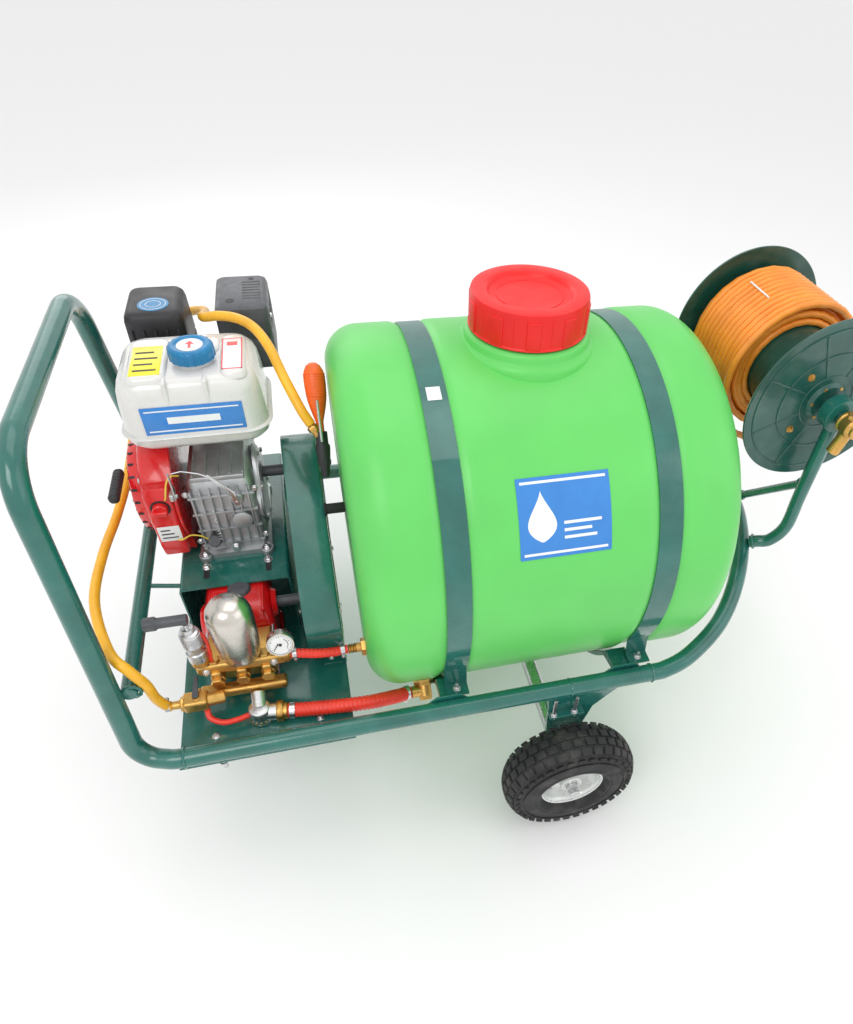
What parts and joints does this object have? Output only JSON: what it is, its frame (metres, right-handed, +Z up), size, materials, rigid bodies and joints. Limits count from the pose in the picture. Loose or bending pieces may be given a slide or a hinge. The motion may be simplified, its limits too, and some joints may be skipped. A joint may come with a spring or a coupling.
{
  "type": "wheeled sprayer cart",
  "caption": "Tube-framed cart with a barrel spray tank, an engine that drives a plunger pump by a guarded belt, and a hand-cranked hose reel.",
  "frame": {"origin": "on the ground under the middle of the cart, hoses not counted", "axes": "+X from the push handle to the hose reel, +Y away from the pump side, +Z up"},
  "size_m": [1.3825, 0.9224, 0.897],
  "materials": {
    "frame_green": "gloss enamel",
    "reel_green": "gloss enamel",
    "tank_green": "rotomoulded, semi-gloss",
    "lid_red": "semi-gloss",
    "engine_red": "gloss",
    "cast_aluminium": "cast, satin",
    "black_plastic": "satin",
    "rubber": "matt",
    "tyre_rubber": "matt",
    "fuel_tank_white": "gloss",
    "cap_blue": "gloss",
    "brass": "satin",
    "steel": "zinc plated",
    "hose_red": "satin PVC",
    "hose_yellow": "satin PVC",
    "hose_orange": "satin PVC"
  },
  "bodies": {
    "cart": {"air_chamber": "steel", "air_cleaner": "black_plastic", "axle": "steel", "axle_bracket_far": "frame_green", "axle_bracket_near": "frame_green", "base_tray": "frame_green", "belt_guard": "frame_green", "delivery_hose": "hose_yellow", "engine_block": "cast_aluminium", "engine_table": "frame_green", "fan_cover": "engine_red", "filler_strainer": "black_plastic", "fuel_tank": "fuel_tank_white", "muffler": "black_plastic", "nose_loop": "frame_green", "pressure_gauge": "steel", "pump_crankcase": "engine_red", "pump_head": "cast_aluminium", "pump_manifold": "brass", "push_handle": "frame_green", "rail_far": "frame_green", "rail_near": "frame_green", "recoil_starter": "engine_red", "reel_arm_far": "frame_green", "reel_arm_near": "frame_green", "reel_swivel": "brass", "regulator": "cast_aluminium", "return_fitting": "brass", "return_hose": "hose_red", "spray_gun": "black_plastic", "suction_elbow": "cast_aluminium", "suction_hose": "hose_red", "sump_fitting": "brass", "tank_saddle_front": "frame_green", "tank_saddle_rear": "frame_green", "tank_shell": "tank_green", "tank_strap_front": "frame_green", "tank_strap_rear": "frame_green", "v_belt": "rubber"},
    "wheel_near": {"tyre_near": "tyre_rubber", "rim_near": "steel"},
    "wheel_far": {"tyre_far": "tyre_rubber", "rim_far": "steel"},
    "caster_fork": {"caster_fork": "steel"},
    "caster_wheel": {"caster_wheel": "rubber"},
    "reel": {"reel_drum": "reel_green", "reel_hose": "hose_orange", "reel_crank": "steel"},
    "crank_grip": {"crank_grip": "black_plastic"},
    "engine_pulley": {"engine_pulley": "steel"},
    "pump_pulley": {"pump_pulley": "steel"},
    "tank_lid": {"tank_lid": "lid_red"},
    "fuel_cap": {"fuel_cap": "cap_blue"},
    "starter_grip": {"starter_grip": "black_plastic"},
    "throttle_lever": {"throttle_lever": "steel"},
    "stop_switch": {"stop_switch": "black_plastic"},
    "regulator_lever": {"regulator_lever": "black_plastic"},
    "outlet_valve_lever": {"outlet_valve_lever": "steel"},
    "gauge_needle": {"gauge_needle": "black_plastic"},
    "gun_trigger": {"gun_trigger": "black_plastic"}
  },
  "joints": [
    {"name": "wheel_near_spin", "type": "hinge", "parent": "cart", "child": "wheel_near", "pos_m": [0.063, -0.415, 0.13], "axis": [0, 1, 0], "continuous": true},
    {"name": "wheel_far_spin", "type": "hinge", "parent": "cart", "child": "wheel_far", "pos_m": [0.063, 0.415, 0.13], "axis": [0, 1, 0], "continuous": true},
    {"name": "caster_swivel", "type": "hinge", "parent": "cart", "child": "caster_fork", "pos_m": [-0.51, 0, 0.159], "axis": [0, 0, 1], "continuous": true},
    {"name": "caster_wheel_spin", "type": "hinge", "parent": "caster_fork", "child": "caster_wheel", "pos_m": [-0.546, 0, 0.05], "axis": [0, 1, 0], "continuous": true},
    {"name": "reel_spin", "type": "hinge", "parent": "cart", "child": "reel", "pos_m": [0.534, 0, 0.738], "axis": [0, 1, 0], "continuous": true},
    {"name": "crank_grip_spin", "type": "hinge", "parent": "reel", "child": "crank_grip", "pos_m": [0.534, 0.2465, 0.626], "axis": [0, 1, 0], "continuous": true},
    {"name": "pump_pulley_spin", "type": "hinge", "parent": "cart", "child": "pump_pulley", "pos_m": [-0.35, -0.12, 0.412], "axis": [1, 0, 0], "continuous": true},
    {"name": "engine_pulley_spin", "type": "hinge", "parent": "cart", "child": "engine_pulley", "pos_m": [-0.35, 0.07, 0.556], "axis": [1, 0, 0], "continuous": true},
    {"name": "lid_lift", "type": "slide", "parent": "cart", "child": "tank_lid", "axis": [0, 0, 1], "range_m": [0, 0.12]},
    {"name": "fuel_cap_lift", "type": "slide", "parent": "cart", "child": "fuel_cap", "axis": [0, 0, 1], "range_m": [0, 0.06]},
    {"name": "starter_pull", "type": "slide", "parent": "cart", "child": "starter_grip", "axis": [-1, 0, 0], "range_m": [0, 0.5], "stiffness_N_per_m": 6, "springref_m": -0.5},
    {"name": "throttle", "type": "hinge", "parent": "cart", "child": "throttle_lever", "pos_m": [-0.548, -0.04, 0.606], "axis": [1, 0, 0], "range_deg": [-25, 25]},
    {"name": "stop_switch_turn", "type": "hinge", "parent": "cart", "child": "stop_switch", "pos_m": [-0.576, -0.0403, 0.585], "axis": [0, 1, 0], "range_deg": [0, 45]},
    {"name": "regulator_bypass", "type": "hinge", "parent": "cart", "child": "regulator_lever", "pos_m": [-0.5465, -0.2345, 0.5235], "axis": [0, 1, 0], "range_deg": [0, 90]},
    {"name": "outlet_valve", "type": "hinge", "parent": "cart", "child": "outlet_valve_lever", "pos_m": [-0.561, -0.277, 0.3875], "axis": [0, 0, 1], "range_deg": [0, 90]},
    {"name": "gauge_reading", "type": "hinge", "parent": "cart", "child": "gauge_needle", "pos_m": [-0.418, -0.24, 0.4395], "axis": [0, 0.9707, -0.2402], "range_deg": [0, 260]},
    {"name": "gun_trigger_squeeze", "type": "hinge", "parent": "cart", "child": "gun_trigger", "pos_m": [-0.3059, -0.03649, 0.68324], "axis": [-0.9998, 0.0061, 0.0212], "range_deg": [0, 12], "stiffness_Nm_per_rad": 0.4, "springref_deg": -17.19}
  ],
  "couplings": [
    {"joint": "engine_pulley_spin", "follows": "pump_pulley_spin", "ratio": 2.1}
  ]
}
